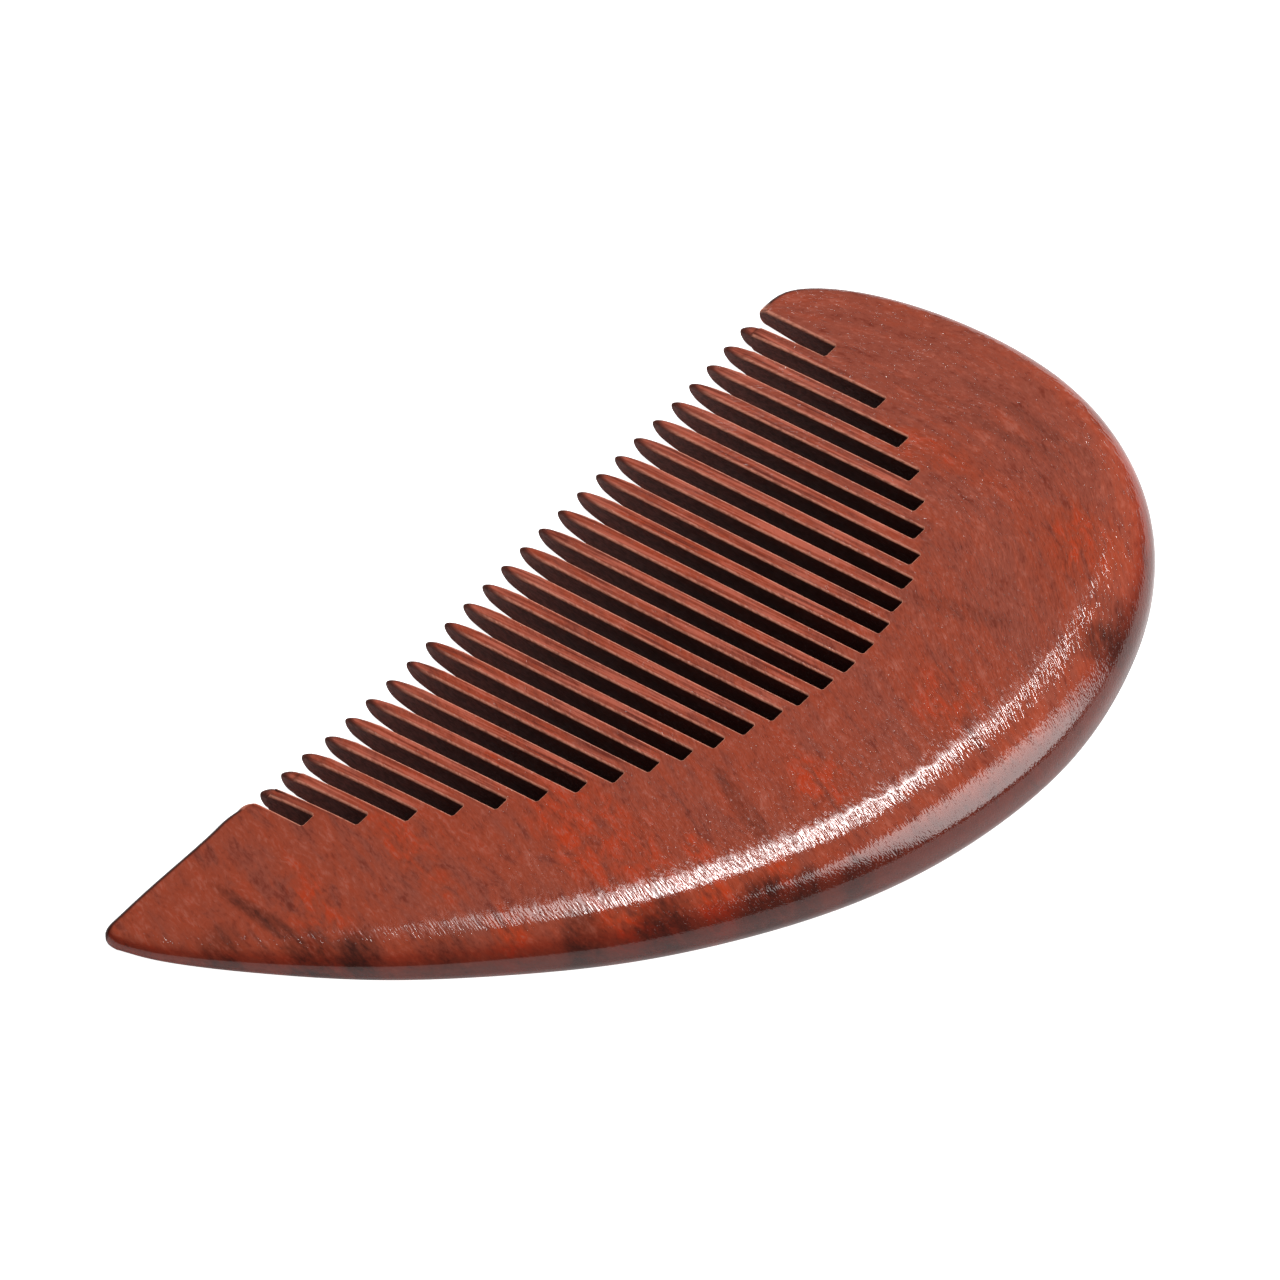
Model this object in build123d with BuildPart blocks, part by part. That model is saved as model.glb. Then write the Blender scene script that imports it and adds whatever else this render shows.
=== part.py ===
from build123d import *
import math
import os

# Beard comb sawn from one board.  The comb lies on its flat lower face at z = 0.  X runs along the
# row of teeth, from the pointed end (-X) to the round end (+X).  The teeth point to +Y and the thick
# back is at -Y.  Both faces are flat and lean towards each other, so the board is a wedge: thick at
# the back, thin at the tooth tips.

# Driving dimensions, mm
WIDTH = 59.0
BACK_THICKNESS = 10.0
TIP_THICKNESS = 1.9

SLOT_COUNT = 27
SLOT_WIDTH = 1.6
SLOT_PITCH = 2.938
FIRST_SLOT_X = -32.83
DEEPEST_SLOT_X = 12.0
DEEPEST_SLOT = 36.2
TIP_LINE_Y = 28.1
TIP_TAPER = 4.0
TIP_WIDTH = 0.2

POINTED_GUARD_Y = 29.85
POINTED_GUARD_END_Y = 28.9
ROUND_GUARD_Y = 29.0
POINTED_END_RADIUS = 1.3
ROUND_END_RADIUS = 3.0
EDGE_RADIUS = 0.8
RIM_FLAT = 0.1
BOARD_MARGIN = 2.6

# The slot roots follow two quarter ovals that meet at the deepest slot: (reach, inner power, outer power)
POINTED_SIDE = (47.9, 1.74, 0.8)
ROUND_SIDE = (32.56, 1.95, 0.51)

# Points that the curved back passes through, from the round end to the pointed end.  The first and
# last points lie beyond the tooth side, so that the rim runs out past it.
BACK_POINTS = [
    (46.0, 33.8),
    (52.0, 22.2),
    (55.0, 6.2),
    (48.3, -14.1),
    (30.9, -26.7),
    (9.5, -29.3),
    (-11.1, -22.9),
    (-28.9, -10.4),
    (-43.4, 5.7),
    (-53.5, 24.5),
    (-58.6, 36.3),
]

# Worked out from the dimensions above
HALF_ANGLE = math.atan((BACK_THICKNESS - TIP_THICKNESS) / 2 / WIDTH)
MID_HEIGHT = (BACK_THICKNESS + TIP_THICKNESS) / 4
MOUTH_WIDTH = SLOT_PITCH - TIP_WIDTH
FLARE_Y = TIP_LINE_Y - TIP_TAPER

# The plane half way between the two faces: the outline and the slots are drawn on it
mid_plane = Plane(
    origin=(0, 0, MID_HEIGHT),
    x_dir=(1, 0, 0),
    z_dir=(0, math.sin(HALF_ANGLE), math.cos(HALF_ANGLE)),
)
lower_face = Plane.XY
upper_face = Plane(
    origin=(0, 0, 2 * MID_HEIGHT),
    x_dir=(1, 0, 0),
    z_dir=(0, math.sin(2 * HALF_ANGLE), math.cos(2 * HALF_ANGLE)),
)


def slot_depth(x):
    """Depth of a slot at x, measured from the line of tooth tips."""
    reach, inner, outer = POINTED_SIDE if x < DEEPEST_SLOT_X else ROUND_SIDE
    along = abs(x - DEEPEST_SLOT_X) / reach
    return DEEPEST_SLOT * (1 - along**inner) ** outer


def is_pointed_corner(edge):
    """True for the short upright edges where the pointed guard meets the rim."""
    middle = edge.center()
    return edge.length < TIP_THICKNESS / 2 and middle.Y > TIP_LINE_Y and middle.X < first_wall


def is_round_corner(edge):
    """True for the short upright edges where the round guard meets the rim."""
    middle = edge.center()
    return edge.length < TIP_THICKNESS / 2 and middle.Y > TIP_LINE_Y and middle.X > last_wall


slot_xs = [FIRST_SLOT_X + SLOT_PITCH * number for number in range(SLOT_COUNT)]
first_wall = slot_xs[0] - SLOT_WIDTH / 2
last_wall = slot_xs[-1] + SLOT_WIDTH / 2
beyond_left = BACK_POINTS[-1][0] - BOARD_MARGIN
beyond_right = -beyond_left

with BuildPart() as comb:
    # Round-edged board, drawn longer than the comb on the tooth side
    with BuildSketch(mid_plane):
        with BuildLine():
            back = Spline(*BACK_POINTS)
            Line(back @ 1, back @ 0)
        make_face()
    extrude(amount=BACK_THICKNESS / 2, both=True)
    rim = comb.faces().filter_by(mid_plane).edges().filter_by(GeomType.BSPLINE)
    fillet(rim, radius=BACK_THICKNESS / 2 - RIM_FLAT)

    # The two flat faces that make the board a wedge
    split(bisect_by=upper_face, keep=Keep.BOTTOM)
    split(bisect_by=lower_face, keep=Keep.TOP)

    # Tooth side: straight guards at both ends, and a shallow hollow line of tooth tips between them
    with BuildSketch(mid_plane):
        with BuildLine():
            pointed_guard = Line((beyond_left, POINTED_GUARD_Y), (first_wall, POINTED_GUARD_END_Y))
            round_guard = Line((last_wall, ROUND_GUARD_Y), (beyond_right, ROUND_GUARD_Y))
            tip_line = ThreePointArc(
                pointed_guard @ 1,
                ((first_wall + last_wall) / 2, TIP_LINE_Y),
                round_guard @ 0,
            )
            Polyline(round_guard @ 1, (beyond_right, WIDTH), (beyond_left, WIDTH), pointed_guard @ 0)
        make_face()
    extrude(amount=BACK_THICKNESS, both=True, mode=Mode.SUBTRACT)

    # Plan corners of the two guards, then the edges of both faces all the way round
    fillet(comb.edges().filter_by(is_pointed_corner), radius=POINTED_END_RADIUS)
    fillet(comb.edges().filter_by(is_round_corner), radius=ROUND_END_RADIUS)
    faces = comb.faces().filter_by(upper_face) + comb.faces().filter_by(lower_face)
    fillet(faces.edges(), radius=EDGE_RADIUS)

    # Slots: parallel walls, square roots and a mouth that flares to leave pointed teeth
    with BuildSketch(mid_plane):
        for x in slot_xs:
            root_y = TIP_LINE_Y - slot_depth(x)
            left_x = x - SLOT_WIDTH / 2
            right_x = x + SLOT_WIDTH / 2
            with BuildLine():
                left_wall = Line((left_x, root_y), (left_x, FLARE_Y))
                left_flare = TangentArc(left_wall @ 1, (x - MOUTH_WIDTH / 2, WIDTH / 2), tangent=(0, 1))
                right_wall = Line((right_x, root_y), (right_x, FLARE_Y))
                right_flare = TangentArc(right_wall @ 1, (x + MOUTH_WIDTH / 2, WIDTH / 2), tangent=(0, 1))
                Line(left_wall @ 0, right_wall @ 0)
                Line(left_flare @ 1, right_flare @ 1)
            make_face()
    extrude(amount=BACK_THICKNESS, both=True, mode=Mode.SUBTRACT)
comb.part.label = "comb"

os.makedirs("parts", exist_ok=True)
export_step(comb.part, "parts/comb.step")
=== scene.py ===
import math

import bmesh
import bpy
import numpy as np
from mathutils import Matrix, Vector, geometry

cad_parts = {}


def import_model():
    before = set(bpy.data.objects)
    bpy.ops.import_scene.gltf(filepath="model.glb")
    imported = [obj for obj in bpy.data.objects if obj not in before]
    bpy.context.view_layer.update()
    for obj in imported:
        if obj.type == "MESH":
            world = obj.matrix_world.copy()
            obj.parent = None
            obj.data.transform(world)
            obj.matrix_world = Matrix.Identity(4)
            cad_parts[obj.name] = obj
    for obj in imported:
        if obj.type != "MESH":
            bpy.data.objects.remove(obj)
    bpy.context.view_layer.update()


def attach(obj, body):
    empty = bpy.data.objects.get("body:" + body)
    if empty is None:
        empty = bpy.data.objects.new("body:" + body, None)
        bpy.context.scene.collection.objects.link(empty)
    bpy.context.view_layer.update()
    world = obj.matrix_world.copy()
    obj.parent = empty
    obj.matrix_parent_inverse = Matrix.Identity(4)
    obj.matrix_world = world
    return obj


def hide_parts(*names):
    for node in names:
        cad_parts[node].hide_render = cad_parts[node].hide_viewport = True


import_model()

# ---------------------------------------------------------------- the comb's dimensions, millimetres
# The board is a wedge. Its plan is drawn on the mid plane between the two faces: X runs along the row of teeth, Y from
# the back to the tips, and the plan's origin is over the middle of the CAD box.
MM = 0.001
BOARD_WIDTH = 59.0
BACK_THICKNESS = 10.0
TIP_THICKNESS = 1.9
MID_HEIGHT = (BACK_THICKNESS + TIP_THICKNESS) / 4
HALF_ANGLE = math.atan((BACK_THICKNESS - TIP_THICKNESS) / 2 / BOARD_WIDTH)

# The back of the comb, from the pointed end round the spine to the round guard, then that guard and the pointed one.
BACK_CURVE = ((-54.95, 27.1), (-54.3, 24.9), (-52.75, 21.3), (-49.1, 14.7), (-42.92, 5.25), (-35.6, -3.45),
              (-27.55, -11.5), (-18.18, -18.6), (-7.35, -24.6), (5.9, -28.62), (16.7, -29.5), (27.2, -27.8),
              (36.35, -24.2), (43.95, -18.8), (50.05, -11.15), (54.15, -0.2), (54.72, 8.1), (53.35, 18.4), (52.0, 22.6))
ROUND_GUARD = ((50.8, 25.1), (49.3, 27.25), (47.7, 28.55), (46.2, 28.95), (45.0, 29.0))
POINTED_GUARD = ((-35.3, 28.85), (-36.8, 29.08), (-38.4, 29.08), (-40.2, 29.1), (-44.2, 29.28), (-49.8, 29.5))
POINT = ((-52.9, 29.54), (-54.1, 29.45), (-54.8, 29.0), (-55.05, 28.2))

# The back's rounding runs in over the face by this much of the half thickness, at these X. It eases to GUARD_RUN over
# GUARD_FADE from GUARD_Y on.
BACK_ROUNDING = ((-30, 1.37), (-12, 1.27), (0, 1.2), (10, 1.27))
BACK_FULLNESS = 0.9
BACK_STEP = 0.7
GUARD_RUN = 0.95
GUARD_Y = 24.0
GUARD_FADE = 3.5

# The round guard's end: a small corner in the plan, with the faces rounded over behind it. The rounding needs wall
# points closer together, and the even ones go on below the last of them.
ROUND_CORNER = 0.3
END_ROUNDING = 1.0
END_EDGE = 0.15
END_RISE = 0.75
END_WALL_Y = (28.6, 28.3, 28.0, 27.6)
EVEN_WALL_Y = 27.3

# The pointed guard's corner at the first slot, and the rounding of its own edge.
POINTED_CORNER = 1.5
POINTED_CORNER_STEPS = 7
POINTED_CORNER_EDGE = 0.15
POINT_RUN = 0.9
POINT_RISE = 0.93
POINT_STEP = 0.5

TOOTH_COUNT = 26
SLOT_PITCH = 2.938
SLOT_WIDTH = 1.6
SLOT_CORNER = 0.16
FIRST_SLOT_X = -32.83
WALL_STEP = 1.5
# The slots' roots lie on two arcs that meet at the deepest slot. Each arc has its reach and its two exponents.
DEEPEST_SLOT_X = 12.0
DEEPEST_SLOT = 35.9
DEPTH_LINE_Y = 27.8
POINTED_SIDE = (47.6, 1.74, 0.8)
ROUND_SIDE = (32.5, 1.95, 0.51)

# Tables over the teeth, which are counted from the pointed end: Y of the nose, how far the nose stands off to the
# right, and how far behind its nose the tooth has its full width.
TIP_LINE = ((0, 28.71), (2, 28.5), (3, 28.12), (7, 27.9), (10, 28.2), (14, 28.45), (21, 28.38), (23, 28.65),
            (25, 29.05))
NOSE_SHIFT = ((0, -0.5), (2, -0.42), (5, -0.2), (8, 0.08), (11, 0.22), (16, 0.16), (20, -0.05), (25, -0.4))
TIP_LENGTHS = ((0, 1.4), (1, 2.2), (2, 2.9), (4, 3.8), (6, 4.2), (22, 4.2), (24, 3.2), (25, 2.0))
TIP_BLUNTNESS = 0.62
NOSE_STEPS = 12
# The faces are rounded over to the nose from NOSE_LENGTH behind it, and sanded down a little over DROP_LENGTH more.
NOSE_LENGTH = 1.5
ROUND_OVER = 1.5
TIP_DROP = 0.16
DROP_LENGTH = 5.0

# The long edges are sanded over by LONG_EDGE, and by NOSE_EDGE more at the nose, which fades out over EDGE_FADE. Along
# the slots' walls it has faded by WALL_EDGE_SHIFT more. An edge takes at most EDGE_SHARE of a tooth's half width.
LONG_EDGE = 0.22
NOSE_EDGE = 0.12
EDGE_FADE = 16
WALL_EDGE_SHIFT = 9
EDGE_SHARE = 0.7
ROOT_EDGE = 0.12
# Behind the nose's rounding, the pale painted highlight along the long edges grows to full strength over this length.
EDGE_HIGHLIGHT_LENGTH = 2.5

# The mesh: levels from the face to the middle of the edge, the spacing of the points on the flat faces and how far they
# keep from the rim, what counts as one point (in metres), and how much more a large face decides the shading.
ARC_STEPS = 9
FACE_STEP = 1.5
FACE_GAP = 0.9
WELD_DISTANCE = 2e-6
SLIVER_LENGTH = 1e-6
FACE_WEIGHT = 60


def read(table, at):
    """The table's value there, straight between its entries."""
    return float(np.interp(at, [row[0] for row in table], [row[1] for row in table]))


def half_thickness(y):
    """Half the board's thickness, square to the mid plane."""
    return MID_HEIGHT / math.cos(HALF_ANGLE) - y * math.tan(HALF_ANGLE)


def from_plan(x, y, z):
    """A point of the plan, z off the mid plane, in the frame in metres."""
    s, c = math.sin(HALF_ANGLE), math.cos(HALF_ANGLE)
    return (x * MM, (y * c + z * s) * MM, (MID_HEIGHT - y * s + z * c) * MM)


def natural_spline(points, step):
    """Points about every step along the natural cubic spline through the given points."""
    p = np.array(points, float)
    gap = np.linalg.norm(np.diff(p, axis=0), axis=1)
    n = len(p)
    system = np.zeros((n, n))
    turn = np.zeros((n, 2))
    system[0, 0] = system[-1, -1] = 1.0
    for i in range(1, n - 1):
        system[i, i - 1:i + 2] = gap[i - 1], 2 * (gap[i - 1] + gap[i]), gap[i]
        turn[i] = 6 * ((p[i + 1] - p[i]) / gap[i] - (p[i] - p[i - 1]) / gap[i - 1])
    bend = np.linalg.solve(system, turn)
    out = []
    for i in range(n - 1):
        d = gap[i]
        count = max(1, round(d / step))
        for t in np.arange(count) * d / count:
            u = d - t
            out.append((bend[i] * u**3 + bend[i + 1] * t**3) / (6 * d)
                       + (p[i] / d - bend[i] * d / 6) * u + (p[i + 1] / d - bend[i + 1] * d / 6) * t)
    out.append(p[-1])
    return [tuple(v) for v in out]


# ---------------------------------------------------------------- the outline
def slot_root(x):
    """Y of the slot's root: two arcs that meet at the deepest slot."""
    reach, inner, outer = POINTED_SIDE if x < DEEPEST_SLOT_X else ROUND_SIDE
    share = min(abs(x - DEEPEST_SLOT_X) / reach, 1.0)
    return DEPTH_LINE_Y - DEEPEST_SLOT * (1 - share**inner) ** outer


def lean(k, share):
    """How far tooth k stands off its even place, from nothing at its root to all of it at its nose."""
    return read(NOSE_SHIFT, k) * max(0.0, min(1.0, share)) ** 2


def tooth_half_width(k, s):
    """Half the width of tooth k, s behind its nose."""
    full = (SLOT_PITCH - SLOT_WIDTH) / 2
    length = read(TIP_LENGTHS, k)
    if s >= length:
        return full
    return full * (1 - (1 - s / length) ** 2) ** TIP_BLUNTNESS


def edge_softness(s):
    """How far the long edges are sanded over, s behind the nose."""
    return LONG_EDGE + NOSE_EDGE * math.exp(-s / EDGE_FADE)


def tip_drop(s):
    """How far the faces have been sanded down, s behind the nose."""
    return TIP_DROP * max(0.0, 1 - (s - NOSE_LENGTH) / DROP_LENGTH) ** 2


class EdgePoint:
    """A point of the plan's outline, and how the board's edge is rounded there.

    rise is the rounding's height. It ends a step of way in over the face, or run straight in from the edge when no way
    is given. drop is how far the face has been sanded down there, and full is 1 for an elliptic rounding, less for a
    fuller one. sawn is 1 on the teeth and slots and 0 on the polished rim, and the last argument is how strong the pale
    painted highlight along the long edge is.
    """

    def __init__(self, x, y, rise, run=0.0, way=None, drop=0.0, full=1.0, sawn=1.0, edge_highlight=1.0):
        self.x, self.y = x, y
        self.rise, self.run, self.way = rise, run, way
        self.drop, self.full = drop, full
        self.sawn, self.edge_highlight = sawn, edge_highlight


def back_points():
    """The back and the round guard, from the pointed end round the spine."""
    points = []
    for x, y in natural_spline(BACK_CURVE + ROUND_GUARD, BACK_STEP)[:-1]:
        h = half_thickness(y)
        guard = min(1.0, max(0.0, (y - GUARD_Y) / GUARD_FADE)) if x > 0 else 0.0
        run = read(BACK_ROUNDING, x)
        points.append(EdgePoint(x, y, h, run=h * (run + (GUARD_RUN - run) * guard),
                                full=BACK_FULLNESS + (1 - BACK_FULLNESS) * guard, sawn=0.0))
    return points


def round_end_points():
    """The corner between the round guard's end and the wall of the last slot."""
    x = FIRST_SLOT_X + SLOT_PITCH * TOOTH_COUNT + SLOT_WIDTH / 2
    y = ROUND_GUARD[-1][1]
    h = half_thickness(y - END_ROUNDING)
    points = []
    for degrees in (0, 30, 60):
        c, s = math.cos(math.radians(degrees)), math.sin(math.radians(degrees))
        back = ROUND_CORNER * (1 - c)
        points.append(EdgePoint(x + ROUND_CORNER * (1 - s), y - back, h * (END_RISE + (1 - END_RISE) * c),
                                way=(END_EDGE * s, back - END_ROUNDING)))
    return points


def wall_point(x, y, side, edge_y, round_length):
    """A point of a slot's wall. Within round_length of the board's edge its rounding turns to run along the wall."""
    s = edge_y - y
    soft = edge_softness(s)
    if s >= round_length:
        return EdgePoint(x, y, soft, way=(side * soft, 0.0))
    h = half_thickness(edge_y - round_length)
    rise = soft + (h - soft) * (1 - s / round_length) ** ROUND_OVER
    return EdgePoint(x, y, rise, way=(side * soft, s - round_length))


def wall_points(k, side):
    """Slot k's right wall (side 1) or left wall (side -1), down to its root. The tooth there leans it a little."""
    x = FIRST_SLOT_X + SLOT_PITCH * k
    root = slot_root(x)
    half = SLOT_WIDTH / 2
    tooth = k if side > 0 else k - 1
    guard = tooth < 0 or tooth >= TOOTH_COUNT
    nose = read(TIP_LINE, tooth)
    if not guard:
        top = nose - read(TIP_LENGTHS, tooth)
    elif side > 0:
        top = ROUND_GUARD[-1][1] - ROUND_CORNER
    else:
        top = POINTED_GUARD[0][1] - POINTED_CORNER
    count = max(3, round((top - root) / WALL_STEP))
    wall = []
    for i in range(count + 1):
        y = top + (root + SLOT_CORNER - top) * i / count
        shift = 0.0 if guard else lean(tooth, (y - root) / (nose - root))
        wall.append((x + side * half + shift, y))
    if guard and side > 0:
        wall = wall[:1] + [(x + half, y) for y in END_WALL_Y] + [q for q in wall[1:] if q[1] < EVEN_WALL_Y]
        points = [wall_point(*q, side, ROUND_GUARD[-1][1], END_ROUNDING) for q in wall]
    else:
        points = [wall_point(*q, side, nose + WALL_EDGE_SHIFT, 0.0) for q in wall]
    for degrees in (30, 60, 90):
        t = math.radians(degrees)
        points.append(EdgePoint(x + side * (half - SLOT_CORNER * (1 - math.cos(t))),
                                root + SLOT_CORNER * (1 - math.sin(t)), ROOT_EDGE, run=ROOT_EDGE))
    return points


def slot_points(k):
    """Slot k, down its right wall and up its left wall."""
    return wall_points(k, 1) + wall_points(k, -1)[::-1]


def nose_points(k):
    """The nose of tooth k, from its right side over to its left."""
    x = FIRST_SLOT_X + SLOT_PITCH * (k + 0.5)
    tip = read(TIP_LINE, k)
    root = max(slot_root(x - SLOT_PITCH / 2), slot_root(x + SLOT_PITCH / 2))
    flat_half = tooth_half_width(k, NOSE_LENGTH)
    flat_soft = min(edge_softness(NOSE_LENGTH), EDGE_SHARE * flat_half)
    flat_drop = tip_drop(NOSE_LENGTH)
    h = half_thickness(tip - NOSE_LENGTH) - flat_drop
    points = []
    for i in range(-NOSE_STEPS + 1, NOSE_STEPS):
        side = -1 if i > 0 else 1
        s = read(TIP_LENGTHS, k) * (i / NOSE_STEPS) ** 2
        w = tooth_half_width(k, s)
        px, py = x + side * w + lean(k, (tip - s - root) / (tip - root)), tip - s
        if s < NOSE_LENGTH:
            inner = (flat_half - flat_soft) * w / flat_half
            rise = flat_soft + (h - flat_soft) * (1 - s / NOSE_LENGTH) ** ROUND_OVER
            points.append(EdgePoint(px, py, rise, way=(side * (inner - w), s - NOSE_LENGTH), drop=flat_drop, edge_highlight=0.0))
        else:
            soft = min(edge_softness(s), EDGE_SHARE * w)
            points.append(EdgePoint(px, py, soft, way=(-side * soft, 0.0), drop=tip_drop(s),
                                    edge_highlight=min(1.0, (s - NOSE_LENGTH) / EDGE_HIGHLIGHT_LENGTH)))
    return points


def pointed_end_points():
    """The pointed guard: its corner at the first slot, then its edge out to the point."""
    x = FIRST_SLOT_X - SLOT_WIDTH / 2 - POINTED_CORNER
    y = POINTED_GUARD[0][1] - POINTED_CORNER
    points = []
    for i in range(1, POINTED_CORNER_STEPS):
        t = i / POINTED_CORNER_STEPS
        a = math.radians(90 * t)
        soft = POINTED_CORNER_EDGE + (POINT_RUN - POINTED_CORNER_EDGE) * t
        points.append(EdgePoint(x + POINTED_CORNER * math.cos(a), y + POINTED_CORNER * math.sin(a), soft, run=soft))
    for px, py in natural_spline(POINTED_GUARD + POINT + BACK_CURVE[:1], POINT_STEP)[:-1]:
        points.append(EdgePoint(px, py, half_thickness(py) * POINT_RISE, run=POINT_RUN, sawn=0.0))
    return points


def comb_outline():
    """The comb's whole outline, anticlockwise."""
    points = back_points() + round_end_points()
    for k in range(TOOTH_COUNT, -1, -1):
        points += slot_points(k)
        if k > 0:
            points += nose_points(k - 1)
    return points + pointed_end_points()


# ---------------------------------------------------------------- the mesh
def inward(p):
    """The direction straight in from the outline at each of its points."""
    ahead = np.roll(p, -1, axis=0) - p
    ahead /= np.linalg.norm(ahead, axis=1)[:, None]
    along = ahead + np.roll(ahead, 1, axis=0)
    along /= np.linalg.norm(along, axis=1)[:, None]
    return np.stack([-along[:, 1], along[:, 0]], axis=1)


def inside(poly, x, y):
    """Whether the polygon holds the point: it does when a ray to the right crosses an odd number of its sides."""
    a, b = poly, np.roll(poly, -1, axis=0)
    cross = (a[:, 1] > y) != (b[:, 1] > y)
    xs = (b[:, 0] - a[:, 0]) * (y - a[:, 1]) / np.where(cross, b[:, 1] - a[:, 1], 1) + a[:, 0]
    return bool(np.count_nonzero(cross & (x < xs)) % 2)


def face_triangles(rim):
    """Triangles of one flat face inside its rim, and the points spread over it, which are numbered after the rim's."""
    lo, hi = rim.min(0), rim.max(0)
    spread = []
    for i, x in enumerate(np.arange(lo[0], hi[0], FACE_STEP)):
        for y in np.arange(lo[1] + (i % 2) * FACE_STEP / 2, hi[1], FACE_STEP):
            if np.min(np.hypot(rim[:, 0] - x, rim[:, 1] - y)) > FACE_GAP and inside(rim, x, y):
                spread.append(Vector((float(x), float(y))))
    only_inside, tolerance = 1, 1e-6
    _, _, triangles, origin, _, _ = geometry.delaunay_2d_cdt([Vector(v) for v in rim] + spread, [],
                                                             [list(range(len(rim)))], only_inside, tolerance)
    if not all(origin):
        raise ValueError("the face's rim crosses itself")
    return [tuple(origin[v][0] for v in t) for t in triangles], [tuple(v) for v in spread]


def weld(mesh):
    """Joins the points that coincide where a rounding has no flat wall below it, and drops the slivers left there."""
    work = bmesh.new()
    work.from_mesh(mesh)
    bmesh.ops.remove_doubles(work, verts=work.verts, dist=WELD_DISTANCE)
    bmesh.ops.dissolve_degenerate(work, edges=work.edges, dist=SLIVER_LENGTH)
    work.to_mesh(mesh)
    work.free()
    mesh.update()


def comb_mesh():
    """The comb as one closed mesh: loops stacked from the upper face down its edge to the lower, and the two faces."""
    outline = comb_outline()
    n = len(outline)
    p = np.array([(q.x, q.y) for q in outline])
    way = np.array([q.way if q.way is not None else v * q.run for q, v in zip(outline, inward(p))])
    rim = p + way
    half = np.array([half_thickness(y) - q.drop for (x, y), q in zip(rim, outline)])
    rise = np.minimum([q.rise for q in outline], half)
    angles = [i / ARC_STEPS * math.pi / 2 for i in range(ARC_STEPS, -1, -1)]
    levels = [(a, 1) for a in angles] + [(a, -1) for a in angles[::-1]]
    verts, faces, sawn, edge = [], [], [], []
    for a, side in levels:
        for i, q in enumerate(outline):
            x, y = p[i] + way[i] * (1 - math.cos(a) ** q.full)
            verts.append(from_plan(x, y, side * (half[i] - rise[i] + rise[i] * math.sin(a) ** q.full)))
            sawn.append(q.sawn * math.cos(a))
            # Where the painted edge highlight goes: strongest halfway round each sawn edge's rounding, at each point's
            # strength.
            edge.append(q.sawn * q.edge_highlight * math.sin(2 * a))
    for level in range(len(levels) - 1):
        a, b = level * n, (level + 1) * n
        for i in range(n):
            j = (i + 1) % n
            faces.append((a + i, b + i, b + j, a + j))
    triangles, spread = face_triangles(rim)
    for side, first in ((1, 0), (-1, (len(levels) - 1) * n)):
        start = len(verts)
        verts += [from_plan(x, y, side * half_thickness(y)) for x, y in spread]
        for triangle in triangles:
            corners = [first + v if v < n else start + v - n for v in triangle]
            faces.append(tuple(corners if side > 0 else corners[::-1]))
    flat = [0.0] * (len(verts) - len(sawn))
    mesh = bpy.data.meshes.new("comb_board")
    mesh.from_pydata(verts, [], faces)
    mesh.attributes.new("sawn", "FLOAT", "POINT").data.foreach_set("value", sawn + flat)
    mesh.attributes.new("edge", "FLOAT", "POINT").data.foreach_set("value", edge + flat)
    weld(mesh)
    return mesh


def build_comb():
    """The comb, shaded smooth, with its flat faces deciding the shading at their rims."""
    mesh = comb_mesh()
    for f in mesh.polygons:
        f.use_smooth = True
    obj = bpy.data.objects.new("comb_board", mesh)
    bpy.context.scene.collection.objects.link(obj)
    obj.modifiers.new("even_shading", "WEIGHTED_NORMAL").weight = FACE_WEIGHT
    return obj


# ---------------------------------------------------------------- materials
class Graph:
    """Short names for building a material's nodes. Any argument may be a number or another node's output."""

    def __init__(self, name):
        self.material = bpy.data.materials.new(name)
        self.material.use_nodes = True
        self.tree = self.material.node_tree
        self.tree.nodes.clear()

    def node(self, kind, inputs, output=0, **settings):
        node = self.tree.nodes.new(kind)
        for key, value in settings.items():
            setattr(node, key, value)
        for key, value in inputs.items():
            if isinstance(value, bpy.types.NodeSocket):
                self.tree.links.new(value, node.inputs[key])
            else:
                node.inputs[key].default_value = value
        return node.outputs[output] if len(node.outputs) else node

    def math(self, operation, a, b=0.0):
        return self.node("ShaderNodeMath", {0: a, 1: b}, operation=operation)

    def add(self, a, b):
        return self.math("ADD", a, b)

    def less(self, a, b):
        return self.math("SUBTRACT", a, b)

    def times(self, a, b):
        return self.math("MULTIPLY", a, b)

    def most(self, a, b):
        return self.math("MAXIMUM", a, b)

    def vector(self, x, y, z):
        return self.node("ShaderNodeCombineXYZ", {0: x, 1: y, 2: z})

    def split(self, vector):
        node = self.tree.nodes.new("ShaderNodeSeparateXYZ")
        self.tree.links.new(vector, node.inputs[0])
        return tuple(node.outputs)

    def sized(self, place, sizes):
        """A place for a noise whose patches have these sizes."""
        return self.vector(*(self.times(v, 1 / size) for v, size in zip(place, sizes)))

    def noise(self, vector, detail, roughness=0.5, distortion=0.0):
        return self.node("ShaderNodeTexNoise", {"Vector": vector, "Scale": 1.0, "Detail": detail,
                                                "Roughness": roughness, "Distortion": distortion})

    def swing(self, noise, reach):
        """A noise moved to swing about 0, over this reach."""
        return self.times(self.add(noise, -0.5), reach)

    def ramp(self, value, low, high, to_low=0.0, to_high=1.0):
        return self.node("ShaderNodeMapRange", {0: value, 1: low, 2: high, 3: to_low, 4: to_high},
                         interpolation_type="SMOOTHSTEP")

    def mix(self, share, a, b, blend="MIX"):
        return self.node("ShaderNodeMix", {0: share, 6: a, 7: b}, output=2, data_type="RGBA", blend_type=blend)

    def attribute(self, name):
        return self.node("ShaderNodeAttribute", {}, output=2, attribute_name=name)

    def finish(self, inputs):
        """Closes the material with one shader."""
        self.node("ShaderNodeOutputMaterial", {"Surface": self.node("ShaderNodeBsdfPrincipled", inputs)})
        return self.material


def srgb(r, g, b):
    """A colour given as 0 to 255 on screen, as linear values."""
    lin = [(v / 255 / 12.92) if v <= 10 else ((v / 255 + 0.055) / 1.055) ** 2.4 for v in (r, g, b)]
    return (*lin, 1.0)
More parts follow.
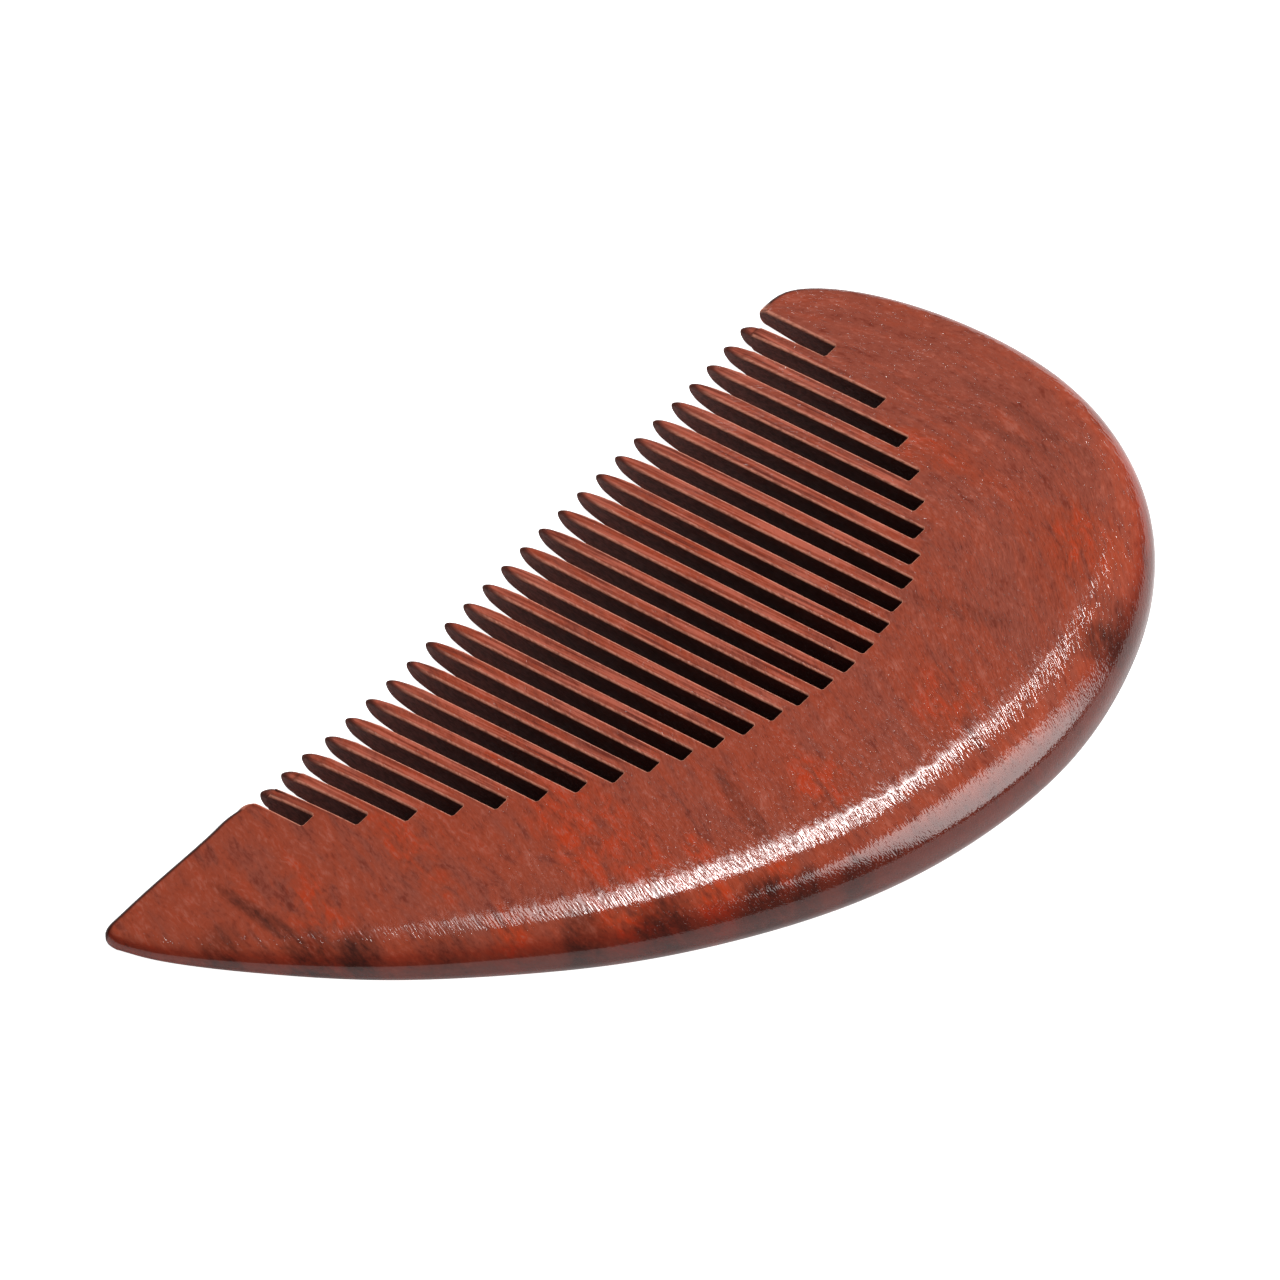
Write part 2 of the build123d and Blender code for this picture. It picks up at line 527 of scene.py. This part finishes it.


# The wood's own colours, then what its rim, its end grain and its sawn surfaces turn it towards. Painted light among
# them: pale and dark lines on the teeth, shade on the side facing the tips and at the slots' roots, and a highlight on
# the long edges.
GREY_WOOD, RED_WOOD, ORANGE_WOOD = srgb(132, 63, 47), srgb(140, 58, 36), srgb(164, 52, 18)
PALE_FIBRE, DARK_FIBRE = srgb(156, 84, 67), srgb(100, 31, 16)
STREAK, PORE = srgb(46, 19, 14), srgb(66, 24, 16)
PAINTED_TOOTH_HIGHLIGHT, PAINTED_TOOTH_SHADE = srgb(186, 100, 80), srgb(84, 26, 16)
RIM_TINT = (0.82, 0.5, 0.38, 1.0)
END_GRAIN, FAR_SIDE_SHADE = srgb(52, 19, 13), srgb(38, 15, 11)
SAWN_WALL_LIT, SAWN_WALL_SHADED, SAWN_FLECK = srgb(118, 66, 56), srgb(72, 34, 26), srgb(34, 14, 10)
EDGE_HIGHLIGHT = srgb(214, 140, 116)

# The grain's relief in metres: at the pointed end, on the rest of the board, and what the back adds below the round
# guard. Where the surface is within MID_TILT (the square of its normal's offset) of square to the mid plane, which is a
# thin strip where the back starts to round over, only STRIP_SHARE of it is left.
POINT_RELIEF, BOARD_RELIEF, BACK_RELIEF = 0.000012, 0.00004, 0.000022
MID_TILT = 0.0016
STRIP_SHARE = 0.12

# Blotches on the board: place, half sizes, how they lean with the grain and, below 1, their strength.
ORANGE_PATCHES = (((-20, -3), (7, 15), 0.3, 0.8), ((36.5, -16), (5, 6), 0.4), ((13, -18), (5, 6), 0.2, 0.8),
                  ((-31, 11), (3, 10), 0.35), ((-42, 14), (4, 9), 0.4), ((-2, -15), (4, 5), 0.1),
                  ((38, 4), (3, 9), 0.0, 0.7), ((-26, -13), (5, 6), 0.3), ((-19.2, -16), (2.6, 3.4), 0.3),
                  ((-13.4, -18.6), (3, 2), 0.0), ((-33.5, -2.2), (3.4, 3.6), 0.3), ((-26.8, -8.4), (2, 3), 0.3),
                  ((-15.6, -10.6), (1.6, 2.8), 0.3))
DARK_STREAKS = (((-45.3, 17), (1.2, 9), 0.13), ((-46, 11.5), (2.8, 4), 0.2), ((-50.3, 18.6), (3, 3.4), 0.3, 0.8),
                ((-43.8, 7.6), (3.4, 3.4), 0.4), ((-38, 1.4), (3.6, 3), 0.0, 0.4), ((-29.6, -8.2), (3.2, 3.4), 0.4),
                ((-24, -13.4), (3.8, 3.6), 0.0), ((-15.8, -19), (3.6, 2.6), -0.3), ((-12.4, -21), (2.4, 1.8), 0.0),
                ((-8, -23.8), (2.6, 1.6), 0.0), ((28.4, -25.4), (4, 3.2), 0.0), ((32, -24), (2.4, 3), 0.0, 0.6),
                ((-9, -11), (1.4, 7), 0.5, 0.7), ((44, 2), (1.3, 14), 0.0, 0.35), ((46.5, -2), (1.0, 12), 0.1, 0.35),
                ((23, -12), (1.6, 7), -0.2, 0.3), ((51, -8), (1.8, 6), 0.3, 0.5))


def grain_space(g):
    """Millimetre coordinates, and how far across the grain a place is: the rings curl round towards the round guard."""
    x, y, z = (g.times(v, 1 / MM) for v in g.split(g.node("ShaderNodeTexCoord", {}, output=3)))
    slow = g.swing(g.noise(g.sized((x, y, z), (30, 40, 20)), 1.0), 6.0)
    quick = g.swing(g.noise(g.sized((x, y, z), (6, 9, 7)), 1.0), 1.5)
    curl = g.ramp(x, 0.0, 36.0)
    straight = g.times(g.times(y, -0.36), g.less(1.0, curl))
    off = g.add(y, -3.0)
    arc = g.times(g.times(g.times(off, off), g.ramp(y, -6.0, 12.0, 0.02, 0.012)), curl)
    across = g.add(g.add(x, g.add(slow, quick)), g.add(straight, arc))
    return x, y, z, g.add(across, g.times(z, 0.55))


def blotch(g, x, y, place, size, lean=0.0, strength=1.0):
    """Its strength in the middle, fading to 0 at its edge. The blotch is an ellipse that leans with the grain."""
    dy = g.add(y, -place[1])
    dx = g.less(g.add(x, -place[0]), g.times(dy, lean))
    u, v = g.times(dx, 1 / size[0]), g.times(dy, 1 / size[1])
    return g.ramp(g.add(g.times(u, u), g.times(v, v)), 0.0, 1.0, strength, 0.0)


def blotches(g, x, y, places):
    """All the blotches of a list, the strongest one showing."""
    out = blotch(g, x, y, *places[0])
    for place in places[1:]:
        out = g.most(out, blotch(g, x, y, *place))
    return out


def tooth_zone(g, x, y):
    """1 on the teeth, fading to 0 at the line of the slots' roots."""
    off = g.add(x, -DEEPEST_SLOT_X)
    right = g.math("GREATER_THAN", off, 0.0)

    def arc(reach, inner, outer):
        share = g.math("MINIMUM", g.times(g.math("ABSOLUTE", off), 1 / reach), 1.0)
        return g.math("POWER", g.less(1.0, g.math("POWER", share, inner)), outer)

    depth = g.add(g.times(arc(*POINTED_SIDE), g.less(1.0, right)), g.times(arc(*ROUND_SIDE), right))
    root = g.less(DEPTH_LINE_Y, g.times(depth, DEEPEST_SLOT))
    return g.ramp(g.less(y, root), 0.0, 4.0)


class Grain:
    """The place on the board in millimetres, and the patterns that follow the grain there."""

    def __init__(self, g):
        self.x, self.y, self.z, across = grain_space(g)

        def fibres(width, length, detail, distortion=0.0):
            place = g.sized((across, self.y, self.z), (width, length, width))
            return g.noise(place, detail, roughness=0.55, distortion=distortion)

        self.bands = fibres(7.0, 70, 2.0)
        self.streaks = fibres(1.3, 18, 3.0)
        self.flecks = fibres(0.36, 0.8, 2.0, 0.4)
        self.mottle = fibres(1.3, 2.6, 2.0, 0.6)
        self.hairs = fibres(0.18, 0.8, 0.0)
        self.pore = g.ramp(fibres(0.17, 0.9, 1.0), 0.36, 0.26)


class Surface:
    """Which way the surface faces, what part of the comb that makes it, how it has been worked, and where the painted
    shade of the far side and the painted highlight of the edges go.
    """

    def __init__(self, g):
        self.facing = g.split(g.node("ShaderNodeNewGeometry", {}, output=1))
        self.rim = g.ramp(g.math("ABSOLUTE", self.facing[2]), 0.98, 0.7)
        self.end_grain = g.ramp(g.math("ABSOLUTE", self.facing[1]), 0.3, 0.8)
        # Surfaces that face the tips' side: they get painted shade, and a duller shine.
        self.far_side_shade = g.ramp(self.facing[1], 0.15, 0.5)
        self.sawn = g.attribute("sawn")
        # Where the pale painted highlight along the long edges goes.
        self.edge = g.attribute("edge")


def wood_colour(g, w):
    """The polished board: grey to red to orange wood, paler and darker fibres, dark streaks and pores."""
    hue = g.add(g.ramp(w.x, 0.0, 45.0, 0.36, 0.22), g.swing(w.bands, 0.8))
    hue = g.add(hue, g.swing(w.streaks, 1.1))
    hue = g.add(hue, g.swing(w.mottle, 0.6))
    hue = g.add(hue, g.times(blotches(g, w.x, w.y, ORANGE_PATCHES), g.ramp(w.mottle, 0.3, 0.65, 0.1, 0.5)))
    colour = g.mix(g.ramp(hue, 0.45, 1.0), g.mix(g.ramp(hue, 0.1, 0.5), GREY_WOOD, RED_WOOD), ORANGE_WOOD)

    light = g.add(g.swing(w.flecks, 2.1), g.swing(w.mottle, 1.8))
    light = g.add(light, g.swing(w.streaks, 1.5))
    colour = g.mix(g.ramp(light, 0.0, 1.0, 0.0, 0.8), colour, PALE_FIBRE)
    colour = g.mix(g.ramp(light, 0.0, -1.0, 0.0, 0.75), colour, DARK_FIBRE)

    broken = g.ramp(g.add(w.streaks, g.times(w.flecks, 0.5)), 0.45, 1.05, 1.0, 0.35)
    shade = g.times(blotches(g, w.x, w.y, DARK_STREAKS), broken)
    shade = g.most(shade, g.times(g.ramp(w.streaks, 0.36, 0.22), 0.35))
    colour = g.mix(g.times(shade, 0.9), colour, STREAK)
    return g.mix(g.times(w.pore, 0.2), colour, PORE)


def tooth_colour(g, w, colour):
    """Fine pale and dark lines along the teeth: painted highlight and painted shade of their rounded, sanded tops."""
    teeth = tooth_zone(g, w.x, w.y)
    sanded_sheen_lines = g.noise(g.sized((w.x, w.y, w.z), (0.3, 11, 2)), 1.0)
    # Painted highlight and painted shade of the teeth's rounded tops, as pale and dark lines along them.
    colour = g.mix(g.times(g.ramp(sanded_sheen_lines, 0.48, 0.7, 0.0, 0.6), teeth), colour, PAINTED_TOOTH_HIGHLIGHT)
    return g.mix(g.times(g.ramp(sanded_sheen_lines, 0.46, 0.25, 0.0, 0.75), teeth), colour, PAINTED_TOOTH_SHADE)


def worked_and_painted_colour(g, w, s, colour):
    """A darker, redder rim, darker end grain, painted shade on the side facing the tips, brown slots with painted shade
    deepening towards their roots, and a pale painted highlight along the rounded long edges.
    """
    colour = g.mix(s.rim, colour, RIM_TINT, "MULTIPLY")
    colour = g.mix(g.times(s.end_grain, 0.7), colour, END_GRAIN)
    # Painted shade on the surfaces that face the tips' side.
    colour = g.mix(g.times(s.far_side_shade, 0.8), colour, FAR_SIDE_SHADE)
    # The sawn walls run from a lit colour near the tips to a shaded one at the roots: painted shade down the slots.
    slot = g.mix(g.ramp(w.y, 27.0, 8.0), SAWN_WALL_LIT, SAWN_WALL_SHADED)
    slot = g.mix(g.ramp(w.flecks, 0.35, 0.65, 0.0, 0.5), slot, SAWN_FLECK)
    colour = g.mix(g.times(s.sawn, 0.88), colour, slot)
    # A pale painted highlight along the rounded long edges, broken up by the flecks.
    return g.mix(g.times(s.edge, g.ramp(w.flecks, 0.3, 0.6, 0.45, 1.0)), colour, EDGE_HIGHLIGHT)


def grain_bump(g, w, s):
    """The grain's relief: shallow at the pointed end, deepest on the back below the round guard, weaker on the rim."""
    height = g.add(g.add(g.times(w.flecks, 0.35), g.times(w.hairs, 0.65)), g.times(w.pore, -0.35))
    fuller = g.times(g.ramp(w.x, 6.0, 24.0), g.ramp(w.y, 2.0, -8.0))
    depth = g.add(g.ramp(w.x, -38.0, -14.0, POINT_RELIEF, BOARD_RELIEF), g.times(fuller, BACK_RELIEF))
    slope = g.add(s.facing[1], -math.sin(HALF_ANGLE))
    tilt = g.add(g.times(s.facing[0], s.facing[0]), g.times(slope, slope))
    depth = g.times(depth, g.ramp(tilt, 0.0, MID_TILT, STRIP_SHARE, 1.0))
    return g.node("ShaderNodeBump", {"Strength": g.ramp(s.rim, 0.0, 1.0, 1.0, 0.55), "Distance": depth,
                                     "Height": height})


def red_sandalwood():
    """Waxed red sandalwood, duller where it was sawn and where it faces the tips' side."""
    g = Graph("red_sandalwood_waxed")
    w, s = Grain(g), Surface(g)
    colour = worked_and_painted_colour(g, w, s, tooth_colour(g, w, wood_colour(g, w)))
    rough = g.add(g.add(g.times(w.flecks, 0.1), 0.06), g.times(s.sawn, 0.4))
    shine = g.times(g.ramp(s.sawn, 0.0, 1.0, 0.5, 0.14), g.ramp(s.far_side_shade, 0.0, 1.0, 1.0, 0.15))
    return g.finish({"Base Color": colour, "Roughness": rough, "IOR": 1.5, "Normal": grain_bump(g, w, s),
                     "Specular IOR Level": shine})


def pale_floor():
    """A faintly mottled floor that glows when the camera sees it, so that it comes out white."""
    g = Graph("pale_floor")
    place = g.node("ShaderNodeTexCoord", {}, output=3)
    grain = g.noise(g.node("ShaderNodeVectorMath", {0: place, 3: 60.0}, operation="SCALE"), 3.0)
    tint = g.mix(g.ramp(grain, 0.3, 0.7), (*[FLOOR_GREY * FLOOR_MOTTLE] * 3, 1.0), (*[FLOOR_GREY] * 3, 1.0))
    seen_by_camera = g.node("ShaderNodeLightPath", {})
    return g.finish({"Base Color": tint, "Roughness": 0.8, "Specular IOR Level": 0.2, "Emission Color": tint,
                     "Emission Strength": g.ramp(seen_by_camera, 0.0, 1.0, FLOOR_GLOW, FLOOR_GLOW_SEEN)})


# ---------------------------------------------------------------- the stage, metres and degrees
CAMERA_PLACE = (-1.9396, -1.4483, 2.8819)
CAMERA_AZIMUTH = -53.090
CAMERA_ELEVATION = 49.822
CAMERA_ROLL = 1.660
CAMERA_LENS = 1125.0
CAMERA_SENSOR = 36.0

FLOOR_HALF_SIZE = 3.0
FLOOR_Z = -0.0001
FLOOR_GREY = 0.75
FLOOR_MOTTLE = 0.985
FLOOR_GLOW = 0.15
FLOOR_GLOW_SEEN = 1.4
WORLD_STRENGTH = 0.15

SHOULDER = Vector((-0.010, -0.018, 0.0))
KEY_ELEVATION = 58
KEY_DISTANCE = 0.42
WINDOW_DISTANCE = 0.9


def camera():
    """The photo's camera: far off, with a long lens."""
    azimuth, elevation, roll = (math.radians(a) for a in (CAMERA_AZIMUTH, CAMERA_ELEVATION, CAMERA_ROLL))
    back = Vector((math.sin(azimuth) * math.cos(elevation), -math.cos(azimuth) * math.cos(elevation),
                   math.sin(elevation)))
    level = Vector((math.cos(azimuth), math.sin(azimuth), 0))
    right = math.cos(roll) * level + math.sin(roll) * back.cross(level)
    data = bpy.data.cameras.new("camera")
    data.lens = CAMERA_LENS
    data.sensor_width = CAMERA_SENSOR
    data.clip_start = 0.5
    data.clip_end = 20
    cam = bpy.data.objects.new("camera", data)
    bpy.context.scene.collection.objects.link(cam)
    m = Matrix((right, back.cross(right), back)).transposed().to_4x4()
    m.translation = Vector(CAMERA_PLACE)
    cam.matrix_world = m
    bpy.context.scene.camera = cam


def floor():
    """The floor, just below the comb's lower face so that the two don't share a plane."""
    s, z = FLOOR_HALF_SIZE, FLOOR_Z
    mesh = bpy.data.meshes.new("floor")
    mesh.from_pydata([(-s, -s, z), (s, -s, z), (s, s, z), (-s, s, z)], [], [(0, 1, 2, 3)])
    obj = bpy.data.objects.new("floor", mesh)
    bpy.context.scene.collection.objects.link(obj)
    mesh.materials.append(pale_floor())


def from_angle(azimuth, elevation, distance):
    """A point seen from the comb at this azimuth, counted from +X towards +Y, and elevation."""
    a, e = math.radians(azimuth), math.radians(elevation)
    return distance * Vector((math.cos(a) * math.cos(e), math.sin(a) * math.cos(e), math.sin(e)))


def area_light(name, place, target, size, power):
    """A rectangular lamp that shines from its place at a target."""
    data = bpy.data.lights.new(name, "AREA")
    data.energy = power
    data.shape = "RECTANGLE"
    data.size, data.size_y = size
    obj = bpy.data.objects.new(name, data)
    bpy.context.scene.collection.objects.link(obj)
    obj.location = place
    obj.rotation_mode = "QUATERNION"
    obj.rotation_quaternion = (target - place).to_track_quat("-Z", "Y")


def studio_lights():
    """A narrow lamp for the highlight on the shoulder, a wider one for its soft edge, and a window for the back."""
    area_light("key", SHOULDER + from_angle(42.5, KEY_ELEVATION, KEY_DISTANCE), SHOULDER, (0.032, 0.17), 0.6)
    area_light("key_halo", SHOULDER + from_angle(48, KEY_ELEVATION, KEY_DISTANCE), SHOULDER, (0.075, 0.2), 0.34)
    area_light("window", from_angle(-64, 36, WINDOW_DISTANCE), Vector((0, 0, 0)), (0.76, 0.9), 12.6)


def world():
    """A dim white surround."""
    w = bpy.data.worlds.new("studio")
    bpy.context.scene.world = w
    w.use_nodes = True
    background = w.node_tree.nodes["Background"]
    background.inputs["Color"].default_value = (1, 1, 1, 1)
    background.inputs["Strength"].default_value = WORLD_STRENGTH


comb = build_comb()
comb.data.materials.append(red_sandalwood())
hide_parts("comb")
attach(comb, "root")

floor()
camera()
world()
studio_lights()
bpy.context.scene.view_settings.view_transform = "Standard"
